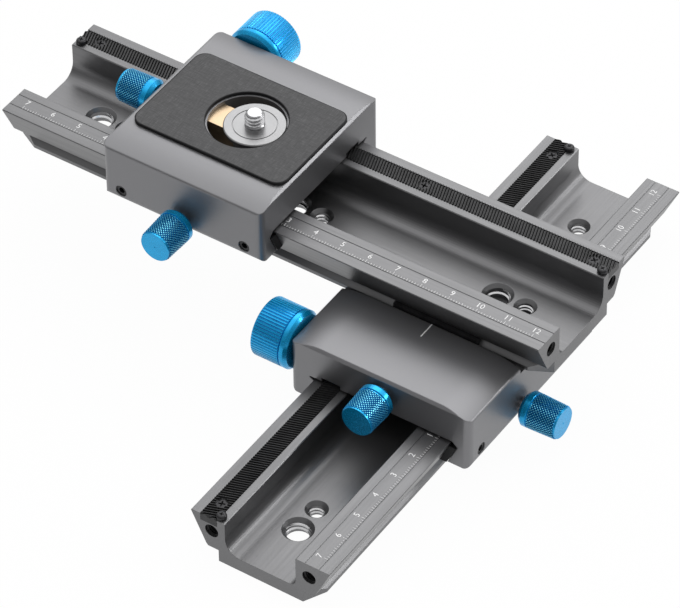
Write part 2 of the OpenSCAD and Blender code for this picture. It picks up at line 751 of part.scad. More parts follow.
module lock_spindle(x) {
    shoulder = gib_face_y(lock_z + spindle_r) + tip_gap + over;
    rod_y(x, -car_y - small_knob_gap - knob_bore_l, -shoulder, lock_z, spindle_r);
    rod_y(x, -shoulder - over, -gib_face_y(lock_z + tip_r) - tip_gap, lock_z, tip_r);
}

// Clamp knob at a carriage's front face, x
module clamp_knob(x, y) {
    translate([x - small_knob_gap, y, clamp_axis])
        rotate([0, -90, 0])
            small_knob(clamp_knob_l);
}

// Its spindle, whose shoulder meets the driven piece at x1
module clamp_spindle(x, x1, y) {
    rod_x(x - small_knob_gap - knob_bore_l, x1 - fit_gap, y, clamp_axis, spindle_r);
    rod_x(x, x1 + tip_l, y, clamp_axis, tip_r);
}

// Lower carriage: the channel for the upper rail's foot, with its fixed lip, and the jaw's pocket
module lower_saddle() {
    x0 = lower_car_x - lower_car_front;
    x1 = lower_car_x + lower_car_rear;
    difference() {
        carriage_body(x0, x1);
        carriage_bores(lower_car_x, lower_car_x - focus_x);
        along_y(-car_y - over, rack_side_y + over)
            polygon([[clamp_front, car_top + over], [clamp_front, clamp_floor],
                     [foot_rear + clamp_gap, clamp_floor], [foot_rear + clamp_gap, clamp_floor + foot_land],
                     [foot_rear + clamp_gap + foot_land - clamp_depth, car_top],
                     [foot_rear + clamp_gap + foot_land - clamp_depth, car_top + over]]);
        translate([clamp_front, -jaw_l / 2 - clamp_gap, jaw_bottom - clamp_gap])
            cube([jaw_back + 2 * clamp_gap - clamp_front, jaw_l + 2 * clamp_gap, jaw_deep + clamp_gap + over]);
        rod_x(x0 - over, clamp_front + over, 0, clamp_axis, spindle_r + fit_gap);
    }
}

module jaw() {
    difference() {
        along_y(-jaw_l / 2, jaw_l / 2)
            polygon([[jaw_face, jaw_bottom], [jaw_back, jaw_bottom],
                     [jaw_back, clamp_floor - clamp_gap], [jaw_face + jaw_wall, clamp_floor - clamp_gap],
                     [jaw_face + jaw_wall, clamp_floor + foot_land],
                     [jaw_face + jaw_wall + jaw_rise, jaw_top], [jaw_face, jaw_top]]);
        rod_x(jaw_face - over, jaw_face + tip_l + fit_gap, 0, clamp_axis, tip_r + fit_gap);
    }
}

// Upper carriage: the plate's pocket, the block's tunnel and the spindle's bore
module upper_saddle() {
    x0 = upper_car_x - upper_car_l / 2;
    x1 = upper_car_x + upper_car_l / 2;
    tunnel = block_back - block_travel - clamp_gap;
    difference() {
        carriage_body(x0, x1);
        carriage_bores(upper_car_x, upper_car_x - upper_focus_x);
        translate([pocket_mid, 0, pocket_floor])
            cylinder(h = car_top - pocket_floor + over, r = pocket_r);
        translate([tunnel, -block_w / 2 - clamp_gap, pocket_floor])
            cube([pocket_mid - tunnel, block_w + 2 * clamp_gap, block_z + clamp_gap - pocket_floor]);
        rod_x(x0 - over, tunnel + over, 0, clamp_axis, spindle_r + fit_gap);
    }
}

module pad() {
    x = upper_car_x + pad_x;
    translate([0, 0, car_top])
        difference() {
            linear_extrude(height = pad_t)
                round_rect(x - pad_l / 2, x + pad_l / 2, -pad_w / 2, pad_w / 2, pad_r);
            translate([pocket_mid, 0, -over])
                cylinder(h = pad_t + 2 * over, r = pad_hole_r);
        }
}

module plate() {
    translate([plate_mid, 0, 0])
        difference() {
            rotate_extrude()
                polygon([[0, plate_seat], [plate_spigot_r, plate_seat], [plate_spigot_r, spigot_top],
                         [plate_body_r, spigot_top], [plate_body_r, car_top], [plate_r, car_top],
                         [plate_r, plate_top - plate_ring_w], [plate_r - plate_ring_w, plate_top],
                         [plate_ring_r + plate_ring_w / 2, plate_top],
                         [plate_ring_r + plate_ring_w / 2, plate_top - plate_ring_w],
                         [plate_ring_r - plate_ring_w / 2, plate_top - plate_ring_w],
                         [plate_ring_r - plate_ring_w / 2, plate_top], [0, plate_top]]);
            translate([0, 0, plate_seat - over])
                cylinder(h = plate_top - plate_seat + 2 * over, r = camera_screw_r + fit_gap);
            translate([0, 0, plate_seat - over])
                cylinder(h = screw_head_l + 2 * fit_gap + over, r = screw_head_r + fit_gap);
        }
}

module plate_screw() {
    translate([plate_mid, 0, 0])
        difference() {
            rotate_extrude()
                polygon([[0, plate_seat + fit_gap], [screw_head_r, plate_seat + fit_gap],
                         [screw_head_r, plate_seat + fit_gap + screw_head_l],
                         [shank_r, plate_seat + fit_gap + screw_head_l],
                         [shank_r, plate_top], [camera_screw_r, plate_top],
                         [camera_screw_r, plate_top + camera_screw_h - camera_screw_bevel],
                         [camera_screw_r - camera_screw_bevel, plate_top + camera_screw_h],
                         [0, plate_top + camera_screw_h]]);
            translate([-screw_head_r - over, -slot_w / 2, plate_seat - over])
                cube([2 * (screw_head_r + over), slot_w, fit_gap + slot_d + over]);
        }
}

// Brass block with a nose hollowed to fit the plate's spigot
module block() {
    difference() {
        translate([block_back, -block_w / 2, block_bottom])
            cube([plate_mid - block_back, block_w, block_z - block_bottom]);
        translate([plate_mid, 0, block_bottom - over])
            cylinder(h = block_z - block_bottom + 2 * over, r = nose_r);
        rod_x(block_back - over, block_back + tip_l + fit_gap, 0, clamp_axis, tip_r + fit_gap);
    }
}

// The lower slide lies along y with its rack on the left; the upper one lies along x in the clamp
module lower_place() {
    rotate([0, 0, 90])
        children();
}

module upper_place() {
    translate([upper_rail_x, clamp_mid, clamp_floor])
        children();
}

module lower_rail() { color("#6f7073") lower_place() rail(); }
module lower_rack() { color("#1d1d1f") lower_place() rack(); }
module lower_rack_screws() { color("#2a2a2c") lower_place() rack_screw_set(); }
module lower_stop_screws() { color("#2a2a2c") lower_place() stop_screw_set(); }
module lower_carriage() { color("#8b8c90") lower_place() lower_saddle(); }
module lower_gib() {
    color("#161617") lower_place() gib(lower_car_x - lower_car_front, lower_car_x + lower_car_rear);
}
module lower_gib_screws() { color("#2a2a2c") lower_place() gib_screw_set(lower_car_x); }
module lower_pinion_shaft() { color("#b9babd") lower_place() pinion_shaft(lower_car_x - focus_x); }
module lower_bushes() { color("#c9a24a") lower_place() bush_pair(lower_car_x - focus_x); }
module lower_focus_knob() { color("#1287c9") lower_place() focus_knob(lower_car_x - focus_x); }
module lower_lock_knob() { color("#1287c9") lower_place() lock_knob(lower_car_x); }
module lower_lock_spindle() { color("#b9babd") lower_place() lock_spindle(lower_car_x); }
module clamp_jaw() { color("#2c2d30") lower_place() jaw(); }
module jaw_knob() { color("#1287c9") lower_place() clamp_knob(lower_car_x - lower_car_front, 0); }
module jaw_spindle() {
    color("#b9babd") lower_place() clamp_spindle(lower_car_x - lower_car_front, jaw_face, 0);
}
module upper_rail() { color("#6f7073") upper_place() rail(); }
module upper_rack() { color("#1d1d1f") upper_place() rack(); }
module upper_rack_screws() { color("#2a2a2c") upper_place() rack_screw_set(); }
module upper_stop_screws() { color("#2a2a2c") upper_place() stop_screw_set(); }
module upper_carriage() { color("#8b8c90") upper_place() upper_saddle(); }
module upper_gib() {
    color("#161617") upper_place() gib(upper_car_x - upper_car_l / 2, upper_car_x + upper_car_l / 2);
}
module upper_gib_screws() { color("#2a2a2c") upper_place() gib_screw_set(upper_car_x); }
module upper_pinion_shaft() { color("#b9babd") upper_place() pinion_shaft(upper_car_x - upper_focus_x); }
module upper_bushes() { color("#c9a24a") upper_place() bush_pair(upper_car_x - upper_focus_x); }
module upper_focus_knob() { color("#1287c9") upper_place() focus_knob(upper_car_x - upper_focus_x); }
module upper_lock_knob() { color("#1287c9") upper_place() lock_knob(upper_car_x); }
module upper_lock_spindle() { color("#b9babd") upper_place() lock_spindle(upper_car_x); }
module support_pad() { color("#4d4e50") upper_place() pad(); }
module adapter_plate() { color("#d8d9db") upper_place() plate(); }
module camera_screw() { color("#cfd0d2") upper_place() plate_screw(); }
module plate_clamp_block() { color("#d9b98a") upper_place() block(); }
module plate_clamp_knob() { color("#1287c9") upper_place() clamp_knob(upper_car_x - upper_car_l / 2, 0); }
module plate_clamp_spindle() {
    color("#b9babd") upper_place() clamp_spindle(upper_car_x - upper_car_l / 2, block_back, 0);
}

lower_rail();
lower_rack();
lower_rack_screws();
lower_stop_screws();
lower_carriage();
lower_gib();
lower_gib_screws();
lower_pinion_shaft();
lower_bushes();
lower_focus_knob();
lower_lock_knob();
lower_lock_spindle();
clamp_jaw();
jaw_knob();
jaw_spindle();
upper_rail();
upper_rack();
upper_rack_screws();
upper_stop_screws();
upper_carriage();
upper_gib();
upper_gib_screws();
upper_pinion_shaft();
upper_bushes();
upper_focus_knob();
upper_lock_knob();
upper_lock_spindle();
support_pad();
adapter_plate();
camera_screw();
plate_clamp_block();
plate_clamp_knob();
plate_clamp_spindle();
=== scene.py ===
"""Looks of a two-axis focusing rail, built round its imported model. All lengths are in metres."""

import math

import bmesh
import bpy
from mathutils import Matrix, Vector


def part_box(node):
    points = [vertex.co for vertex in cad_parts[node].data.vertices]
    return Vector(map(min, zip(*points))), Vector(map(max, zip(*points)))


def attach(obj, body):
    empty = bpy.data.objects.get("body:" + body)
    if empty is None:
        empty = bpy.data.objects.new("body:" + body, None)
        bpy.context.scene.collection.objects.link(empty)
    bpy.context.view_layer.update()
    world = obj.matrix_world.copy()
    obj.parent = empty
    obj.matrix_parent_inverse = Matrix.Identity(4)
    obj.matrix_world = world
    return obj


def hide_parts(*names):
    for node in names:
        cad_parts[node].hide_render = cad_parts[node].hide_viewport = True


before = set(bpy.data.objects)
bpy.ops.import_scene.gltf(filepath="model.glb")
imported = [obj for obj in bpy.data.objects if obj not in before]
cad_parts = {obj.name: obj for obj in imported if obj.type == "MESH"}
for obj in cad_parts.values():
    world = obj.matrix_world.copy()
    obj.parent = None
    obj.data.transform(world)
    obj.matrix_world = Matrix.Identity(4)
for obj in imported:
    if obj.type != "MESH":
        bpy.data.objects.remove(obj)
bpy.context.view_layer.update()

MM = 0.001
FULL_TURN = 2 * math.pi
UP = Vector((0, 0, 1))
TINY = 1e-9

# Camera at the photograph's angle: its place, the way it looks, its upper side, its focal length,
# and how near and how far it sees
FRAME_W = 680
FOCAL_PX = 5030.2
SENSOR_W = 36
CAMERA_PLACE = Vector((0.59965, -0.93371, 1.09461))
CAMERA_LOOK = Vector((-0.407133, 0.599186, -0.689361))
CAMERA_UP = Vector((-0.377469, 0.576898, 0.724366))
CLIP_NEAR = 0.05
CLIP_FAR = 30

# Direction from which most of the light comes, and how bright the sky is round it:
# pairs of the cosine of the angle from that direction and a share of the full brightness
BRIGHT_SIDE = (-0.22, 0.4, 0.89)
SKY = ((0.0, 0.18), (0.42, 0.3), (0.62, 0.62), (0.8, 0.95), (0.92, 1.0))
SKY_STRENGTH = 1.5

# Lamps: name, place, side of the square and power. All shine at one point
LAMP_TARGET = (-0.03, 0.0, 0.03)
LAMPS = (("key", (-0.26, 0.78, 0.95), 0.8, 2.6), ("side", (1.2, 1.05, 0.75), 0.5, 7))

# Floor: half its side, its own grey, and how much of it shows as plain white, seen or reflected
FLOOR_HALF = 6.0
FLOOR_GREY = 0.8
FLOOR_WHITE = 0.97

# Rail: distance from its near end to its middle large thread, and the scale's zero from there
RAIL_NEAR = 95 * MM
SCALE_ZERO = -20 * MM
SCALE_LOW = -70 * MM
SCALE_HIGH = 120 * MM
CM = 10 * MM
TICK_BASE = -20.95 * MM
TICK_SHORT = 0.75 * MM
TICK_HALF = 1.0 * MM
TICK_LONG = 1.35 * MM
TICK_W = 0.11 * MM
DIGIT_H = 2.0 * MM
DIGIT_Y = -18.9 * MM
DIGIT_STEPS = 3
DIGIT_EXTRUDE = 0.01
PAINT_T = 0.02 * MM

# Rings of the wave texture to one unit of its scale
WAVE_UNIT = 0.314

# Span that most of a noise texture's values lie in
NOISE_SPAN = (0.3, 0.7)

# Stops of a colour that varies a little: their place, and whether they are darker or lighter
SHADE_STOPS = ((0.3, -1), (0.5, 0), (0.7, 1))

# Meshes: points closer than this are one, and edges sharper than this, in degrees, aren't smoothed
WELD = 0.0005 * MM
SHARP = 35

# Threads of the rail: places from the middle large thread, wall radii, pitches and depth of the ridges
BIG_PITCH = 75 * MM
SMALL_SHIFT = 10 * MM
BIG_R = 3.97 * MM
SMALL_R = 2.55 * MM
BIG_THREAD = 1.5875 * MM
SMALL_THREAD = 1.27 * MM
FLOOR_T = 5 * MM
MOUTH_BEVEL = 1.14 * MM
END_BORE_R = 2.4 * MM
END_BORE_Y = 17.5 * MM
END_BORE_Z = 11.65 * MM
END_THREAD = 0.8 * MM
END_THREAD_L = 7 * MM
THREAD_START = 0.1 * MM
END_THREAD_START = 0.15 * MM
# Ridges, in shares of the pitch: their half width and depth, crest, and how deep they are at their ends
RIDGE_SHARE = 0.3
END_SHARE = 0.48
RIDGE_CREST = 0.06
RIDGE_END = 0.03
RIDGE_SINK = 0.03 * MM
RIDGE_STEPS = 40
RIDGE_FADE = 1 / 6

# Screws of the rack and the stops: cross recess, head and shank, and how far each is turned, in degrees
RACK_SCREWS = 4
CROSS_REACH_SHARE = 0.62
CROSS_HALF_SHARE = 0.15
CROSS_FLOOR_SHARE = 0.6
CROSS_LIP_SHARE = 0.9
CROSS_LIP = 0.02 * MM
COUNTERSINK_R = 1.9 * MM
RACK_SHANK_R = 1 * MM
RACK_CROSS_D = 0.75 * MM
RACK_TURN = 20
RACK_TURN_STEP = 37
RIM_LOW = 0.12 * MM
RIM_HIGH = 0.07 * MM
RIM_EDGE = 0.05 * MM
STOP_SHANK_R = 0.9 * MM
STOP_HEAD_R = 1.7 * MM
STOP_HEAD_H = 1.6 * MM
STOP_CROSS_D = 0.8 * MM
STOP_TURN = 15
STOP_TURN_STEP = 50
DOME_SHARE = 0.97
DOME_STEP = 15
DOME_END = 75

# Small knobs: bore, root, collar and knurl
KNOB_BORE_R = 2.54 * MM
KNOB_BORE_L = 8.04 * MM
ROOT_SHARE = 0.812
ROOT_L = 1.2 * MM
COLLAR_L = 3 * MM
COLLAR_GROOVE = 0.2 * MM
END_TAPER = 0.3 * MM
END_BEVEL = 0.35 * MM
KNURL_COUNT = 36
KNURL_DEPTH = 0.34 * MM
KNURL_TOP_SHARE = 0.38
# Marks of the knurl's faces: lighter tops are painted highlight, darker sides painted shade
CREST_HIGHLIGHT_MARK = 1
VALLEY_SHADE_MARK = 2
DIMPLE_R = 0.4 * MM
DIMPLE_D = 0.15 * MM
DIMPLE_FLOOR_SHARE = 0.3
BORE_TIP_SHARE = 0.02
ROOT_STEP = 0.1 * MM
ROOT_EDGE = 0.05 * MM
COLLAR_EDGE = 0.08 * MM
TIP_EDGE_R = 0.06 * MM
TIP_EDGE_H = 0.05 * MM
KNURL_SHARP = 28

# Focus knobs: bore, smooth band, groove and flutes
FOCUS_BORE_R = 3.04 * MM
FOCUS_BORE_L = 10.04 * MM
FOCUS_BEVEL = 1 * MM
FOCUS_BAND = 2.4 * MM
FOCUS_GROOVE = 0.5 * MM
FLUTES = 60
FLUTE_D = 0.35 * MM
FLUTE_HALF_SHARE = 0.3
FLUTE_EDGE = 0.06 * MM
FLUTE_STEPS = 4
FOCUS_EDGE_R = 0.08 * MM
FOCUS_EDGE_H = 0.06 * MM
# The free end's round edge: steps inward and back from the end
FOCUS_END = ((0, 0.5 * MM), (0.15 * MM, 0.2 * MM), (0.5 * MM, 0), (1.5 * MM, 0))
# Painted shade in the flutes: from this share of their depth, on these rows of faces from the bore outward
FLUTE_SHADE_FROM = 0.8
FLUTED_ROWS = (10, 11)
FLUTE_SHARP = 40

# Pale index line on the lower carriage
INDEX_X0 = -7.25 * MM
INDEX_X1 = -0.9 * MM
INDEX_Y = 0.25 * MM
INDEX_W = 0.42 * MM

# Pad, plate and camera screw
PAD_CORNER = 4 * MM
PAD_HOLE_R = 13.1 * MM
PAD_HOLE_X = -82.8 * MM
PAD_EDGE = 0.15 * MM
PAD_EDGE_MID = 0.4 * PAD_EDGE
# Black bands on the pad's top along its hole and its outline: painted shade of its edges
PAD_HOLE_BAND = 2 * PAD_EDGE
PAD_RIM_BAND = 3 * PAD_EDGE
PAD_STEPS = 360
PAD_RINGS = 8
PAD_SHARP = 50
CORNER_STEPS = 16
SCREW_HEAD_R = 4.9 * MM
SCREW_HEAD_L = 1.8 * MM
SCREW_SHANK_R = 2.6 * MM
SCREW_R = 3.175 * MM
SCREW_ROOT_R = 2.55 * MM
SCREW_H = 5 * MM
SCREW_BEVEL = 0.9 * MM
SCREW_PLAIN = 0.55 * MM
SCREW_EDGE = 0.1 * MM
SCREW_BEVEL_SLOPE = 1.05
SCREW_STEPS = 72
SCREW_LAYERS = 50
SCREW_SHARP = 30
# Thread in shares of its pitch: half the crest, each flank, and the run-in at its root
CREST_HALF = 0.08
FLANK = 0.3
RUN_IN = 0.5
SLOT_W = 1.2 * MM
SLOT_D = 0.9 * MM
SLOT_MARGIN = 0.12 * MM
SLOT_TAPER = 0.98


class Shape:
    """Points and faces of one piece; mark is the number of the material a face takes."""

    def __init__(self):
        self.points = []
        self.faces = []
        self.marks = []

    def face(self, corners, mark=0):
        self.faces.append(tuple(corners))
        self.marks.append(mark)

    def ring(self, points):
        start = len(self.points)
        self.points.extend(points)
        return list(range(start, len(self.points)))

    def bridge(self, a, b, mark=0):
        """Quads between two rings of the same count."""
        n = len(a)
        for i in range(n):
            j = (i + 1) % n
            self.face((a[i], a[j], b[j], b[i]), mark)

    def loft(self, rings, mark=0, caps=True):
        """A skin over rings of points, closed at both ends by a flat face if caps is true."""
        made = [self.ring(r) for r in rings]
        for a, b in zip(made, made[1:]):
            self.bridge(a, b, mark)
        if caps:
            self.face(reversed(made[0]), mark)
            self.face(made[-1], mark)
        return made


def polar(r, angle, z=0.0):
    """Point at a radius, an angle and a height."""
    return Vector((r * math.cos(angle), r * math.sin(angle), z))


def circle(r, z, steps):
    """Points of a level circle round the z axis."""
    return [polar(r, FULL_TURN * i / steps, z) for i in range(steps)]


def turned(profile, steps):
    """Rings of a turned form from its radii and heights."""
    return [circle(r, z, steps) for r, z in profile]


def add_object(name, data):
    """Object of some data, in the scene."""
    obj = bpy.data.objects.new(name, data)
    bpy.context.scene.collection.objects.link(obj)
    return obj


def make_piece(name, shape, place, body, finishes, sharp=SHARP):
    """Mesh object of a shape, moved by place, which rides on body."""
    mesh = bpy.data.meshes.new(name)
    mesh.from_pydata([place @ p for p in shape.points], [], shape.faces)
    mesh.polygons.foreach_set("material_index", shape.marks)
    work = bmesh.new()
    work.from_mesh(mesh)
    bmesh.ops.remove_doubles(work, verts=work.verts, dist=WELD)
    bmesh.ops.recalc_face_normals(work, faces=work.faces)
    work.to_mesh(mesh)
    work.free()
    for finish in finishes:
        mesh.materials.append(finish)
    mesh.shade_smooth()
    mesh.set_sharp_from_angle(angle=math.radians(sharp))
    obj = add_object(name, mesh)
    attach(obj, body)
    return obj


class Slide:
    """A rail and its carriage. In a slide's own frame x runs along the rail, y towards the rack, z up."""

    def __init__(self, name, turn, rail_body, carriage_body):
        low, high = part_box(name + "_rail")
        middle = (low + high) / 2
        self.name = name
        self.rail_body = rail_body
        self.carriage_body = carriage_body
        origin = Vector((low.x + RAIL_NEAR, middle.y, low.z))
        if turn:
            origin = Vector((middle.x, low.y + RAIL_NEAR, low.z))
        self.place = Matrix.Translation(origin) @ Matrix.Rotation(math.radians(turn), 4, "Z")

    def box(self, part):
        """Lowest and highest corner of one of the slide's nodes, in the slide's own frame."""
        back = self.place.inverted()
        a, b = (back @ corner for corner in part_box(f"{self.name}_{part}"))
        return Vector(map(min, a, b)), Vector(map(max, a, b))


def outward_place(node, direction):
    """Frame at the root of a knob whose z points along direction, with the knob's length and radius."""
    low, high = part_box(node)
    middle, half = (low + high) / 2, (high - low) / 2
    direction = Vector(direction)
    length = 2 * abs(half.dot(direction))
    across = [half[i] for i in range(3) if abs(direction[i]) < 0.5]
    turn = direction.to_track_quat("Z", "Y").to_matrix().to_4x4()
    return Matrix.Translation(middle - direction * length / 2) @ turn, length, max(across)


# Finishes
def fill_ramp(ramp, stops):
    """Stops of a colour ramp from (place, colour) pairs."""
    elements = ramp.color_ramp.elements
    while len(elements) < len(stops):
        elements.new(0.5)
    for element, (place, colour) in zip(elements, stops):
        element.position = place
        element.color = (*colour, 1)


class Finish:
    """A node material: colour, roughness and relief come from textures in the piece's own space."""

    def __init__(self, name, metallic, specular=0.5):
        self.material = bpy.data.materials.new(name)
        self.material.use_nodes = True
        self.tree = self.material.node_tree
        self.shader = self.tree.nodes["Principled BSDF"]
        self.shader.inputs["Metallic"].default_value = metallic
        self.shader.inputs["Specular IOR Level"].default_value = specular
        self.coordinates = self.node("ShaderNodeTexCoord").outputs["Object"]

    def node(self, kind, **inputs):
        made = self.tree.nodes.new(kind)
        for name, value in inputs.items():
            self.put(made.inputs[name.replace("_", " ")], value)
        return made

    def put(self, socket, value):
        if isinstance(value, bpy.types.NodeSocket):
            self.tree.links.new(value, socket)
        else:
            socket.default_value = value

    def stretched(self, scale):
        """The piece's coordinates, scaled by a number for each axis."""
        return self.node("ShaderNodeMapping", Vector=self.coordinates, Scale=scale).outputs["Vector"]

    def noise(self, scale, detail=3.0, vector=None):
        made = self.node("ShaderNodeTexNoise", Vector=vector or self.coordinates, Scale=scale, Detail=detail)
        return made.outputs["Fac"]

    def maths(self, operation, a, b):
        """Two numbers joined by an operation."""
        made = self.node("ShaderNodeMath")
        made.operation = operation
        self.put(made.inputs[0], a)
        self.put(made.inputs[1], b)
        return made.outputs["Value"]

    def ranged(self, value, source, target=(0.0, 1.0)):
        """A number moved from one range to another."""
        made = self.node("ShaderNodeMapRange", Value=value)
        for name, limit in zip(("From Min", "From Max", "To Min", "To Max"), source + target):
            made.inputs[name].default_value = limit
        return made.outputs["Result"]

    def colours(self, factor, stops):
        """Base colour from a ramp of (place, colour) stops."""
        ramp = self.node("ShaderNodeValToRGB", Fac=factor)
        fill_ramp(ramp, stops)
        self.put(self.shader.inputs["Base Color"], ramp.outputs["Color"])

    def roughness(self, factor, low, high):
        self.put(self.shader.inputs["Roughness"], self.ranged(factor, NOISE_SPAN, (low, high)))

    def rings(self, centre, spacing):
        """Turning marks round an upright axis at a place."""
        shifted = self.node("ShaderNodeMapping", Vector=self.coordinates, Location=tuple(-c for c in centre))
        wave = self.node("ShaderNodeTexWave", Vector=shifted.outputs["Vector"], Scale=WAVE_UNIT / spacing)
        wave.wave_type = "RINGS"
        wave.rings_direction = "Z"
        wave.inputs["Distortion"].default_value = 1.5
        return wave.outputs["Fac"]

    def relief(self, *heights, edge=0):
        """Bump from (height, depth in metres) pairs, one on the other, and edges that catch the light."""
        normal = None
        if edge:
            rounded = self.node("ShaderNodeBevel", Radius=edge)
            rounded.samples = 6
            normal = rounded.outputs["Normal"]
        for height, depth in heights:
            bump = self.node("ShaderNodeBump", Height=height, Distance=depth)
            bump.inputs["Strength"].default_value = 1.0
            if normal:
                self.put(bump.inputs["Normal"], normal)
            normal = bump.outputs["Normal"]
        self.put(self.shader.inputs["Normal"], normal)


def shades(colour, spread):
    """Three stops round a colour for a finish that varies a little."""
    return [(place, tuple(c * (1 + spread * side) for c in colour)) for place, side in SHADE_STOPS]


def anodised_rail(name, along):
    """Drawn and blasted aluminium with a grey anodised skin; along is the rail's direction."""
    finish = Finish(name, 0.92)
    streaks = finish.stretched(tuple(30 if a else 1800 for a in along))
    grain = finish.noise(5200, 2)
    drawn = finish.noise(1, 4, streaks)
    cloud = finish.noise(26, 3)
    finish.colours(cloud, shades((0.18, 0.18, 0.184), 0.06))
    finish.roughness(drawn, 0.36, 0.46)
    finish.relief((grain, 0.008 * MM), (drawn, 0.003 * MM), edge=0.2 * MM)
    return finish.material


def anodised_carriage(name):
    """Blasted aluminium with a lighter satin skin."""
    finish = Finish(name, 0.75)
    grain = finish.noise(6500, 2)
    cloud = finish.noise(20, 3)
    finish.colours(cloud, shades((0.21, 0.21, 0.218), 0.04))
    finish.roughness(cloud, 0.36, 0.42)
    finish.relief((grain, 0.007 * MM), edge=0.5 * MM)
    return finish.material


def anodised_blue(name, colour):
    """Bright blue anodised aluminium with fine turning marks under a clear, glossy skin."""
    finish = Finish(name, 0.62)
    finish.shader.inputs["Coat Weight"].default_value = 0.15
    finish.shader.inputs["Coat Roughness"].default_value = 0.14
    grain = finish.noise(4000, 2)
    cloud = finish.noise(160, 2)
    finish.colours(cloud, shades(colour, 0.06))
    finish.roughness(grain, 0.22, 0.3)
    finish.relief((grain, 0.0015 * MM))
    return finish.material


def dark_steel(name, colour, low=0.28, high=0.42, edge=0):
    """Blackened steel with a light film of oil."""
    finish = Finish(name, 0.6)
    grain = finish.noise(3000, 3)
    cloud = finish.noise(220, 3)
    finish.colours(cloud, shades(colour, 0.25))
    finish.roughness(grain, low, high)
    finish.relief((grain, 0.006 * MM), edge=edge)
    return finish.material


def bright_metal(name, colour, low, high, depth, edge=0.12 * MM):
    """Turned bright metal with faint machining marks."""
    finish = Finish(name, 0.95)
    grain = finish.noise(2600, 3)
    cloud = finish.noise(140, 3)
    finish.colours(cloud, shades(colour, 0.06))
    finish.roughness(cloud, low, high)
    finish.relief((grain, depth), edge=edge)
    return finish.material


def faced_metal(name, node):
    """Bright metal faced on a lathe, with fine rings round the middle of a node."""
    low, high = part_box(node)
    finish = Finish(name, 0.9)
    rings = finish.rings((low + high) / 2, 0.22 * MM)
    grain = finish.noise(3000, 3)
    cloud = finish.noise(160, 3)
    finish.colours(cloud, shades((0.31, 0.31, 0.315), 0.05))
    finish.roughness(rings, 0.3, 0.38)
    finish.relief((rings, 0.0025 * MM), (grain, 0.002 * MM), edge=0.1 * MM)
    return finish.material


def woven_pad(name):
    """Dark grey rubber with a fine woven face."""
    finish = Finish(name, 0.0, 0.35)
    warp = finish.noise(1, 2, finish.stretched((3600, 420, 420)))
    weft = finish.noise(1, 2, finish.stretched((420, 3600, 420)))
    weave = finish.ranged(finish.maths("MULTIPLY", warp, weft), (0.12, 0.42))
    finish.colours(weave, [
        (0.0, (0.045, 0.045, 0.047)),
        (0.5, (0.072, 0.072, 0.074)),
        (1.0, (0.115, 0.115, 0.118))])
    finish.roughness(weave, 0.6, 0.8)
    finish.relief((weave, 0.05 * MM))
    return finish.material


def black_rubber(name):
    """Plain black on the pad's sides and thin bands along its top's edges: painted shade of its edges."""
    finish = Finish(name, 0.0, 0.3)
    grain = finish.noise(2500, 3)
    finish.colours(grain, shades((0.008, 0.008, 0.009), 0.3))
    finish.roughness(grain, 0.55, 0.7)
    finish.relief((grain, 0.01 * MM))
    return finish.material


def white_paint(name):
    """Printed marks, a little worn."""
    finish = Finish(name, 0.0, 0.4)
    worn = finish.noise(900, 4)
    finish.colours(worn, [(0.25, (0.5, 0.5, 0.5)), (0.42, (0.78, 0.78, 0.78)), (0.7, (0.86, 0.86, 0.86))])
    finish.roughness(worn, 0.5, 0.65)
    finish.relief((worn, 0.004 * MM))
    return finish.material


FINISHES = {
    "lower_rail": anodised_rail("anodised_along_y", (0, 1, 0)),
    "upper_rail": anodised_rail("anodised_along_x", (1, 0, 0)),
    "carriage": anodised_carriage("anodised_satin"),
    "blue": anodised_blue("anodised_blue", (0.0015, 0.36, 0.72)),
    # Lighter blue on the knurls' tops: painted highlight
    "crest": anodised_blue("anodised_blue_painted_highlight", (0.2, 0.8, 0.95)),
    # Darker blue in the knurls' grooves and the flutes' floors: painted shade
    "valley_painted_shade": anodised_blue("anodised_blue_painted_shade", (0.001, 0.2, 0.46)),
    "rack": dark_steel("blackened_rack", (0.035, 0.035, 0.036), edge=0.1 * MM),
    "screws": dark_steel("blackened_screws", (0.03, 0.03, 0.032)),
    "gib": dark_steel("black_gib", (0.012, 0.012, 0.013), 0.4, 0.55),
    "jaw": dark_steel("dark_jaw", (0.06, 0.06, 0.063), 0.35, 0.5),
    "steel": bright_metal("bright_steel", (0.46, 0.46, 0.47), 0.18, 0.28, 0.003 * MM),
    "plate": faced_metal("faced_plate", "adapter_plate"),
    "brass": bright_metal("brass", (0.58, 0.44, 0.29), 0.3, 0.4, 0.006 * MM),
    "bush": bright_metal("bronze_bush", (0.3, 0.2, 0.1), 0.3, 0.45, 0.006 * MM),
    "thread": bright_metal("cut_thread", (0.6, 0.6, 0.61), 0.16, 0.28, 0.004 * MM),
    # Near-black ridges in the rails' end bores: painted shade of the deep bores
    "bore": dark_steel("end_bore_painted_shade", (0.012, 0.012, 0.013), 0.3, 0.45),
    "pad": woven_pad("woven_pad"),
    # Black of the pad's sides and edge bands: painted shade
    "rubber": black_rubber("black_rubber"),
    "paint": white_paint("white_paint"),
}

# Finish of each node that is shown as it is
NODE_FINISHES = {
    "lower_rail": "lower_rail", "upper_rail": "upper_rail",
    "lower_rack": "rack", "upper_rack": "rack",
    "lower_carriage": "carriage", "upper_carriage": "carriage",
    "lower_gib": "gib", "upper_gib": "gib",
    "lower_gib_screws": "screws", "upper_gib_screws": "screws",
    "lower_pinion_shaft": "steel", "upper_pinion_shaft": "steel",
    "lower_bushes": "bush", "upper_bushes": "bush",
    "lower_lock_spindle": "steel", "upper_lock_spindle": "steel",
    "jaw_spindle": "steel", "plate_clamp_spindle": "steel",
    "clamp_jaw": "jaw", "adapter_plate": "plate", "plate_clamp_block": "brass",
}


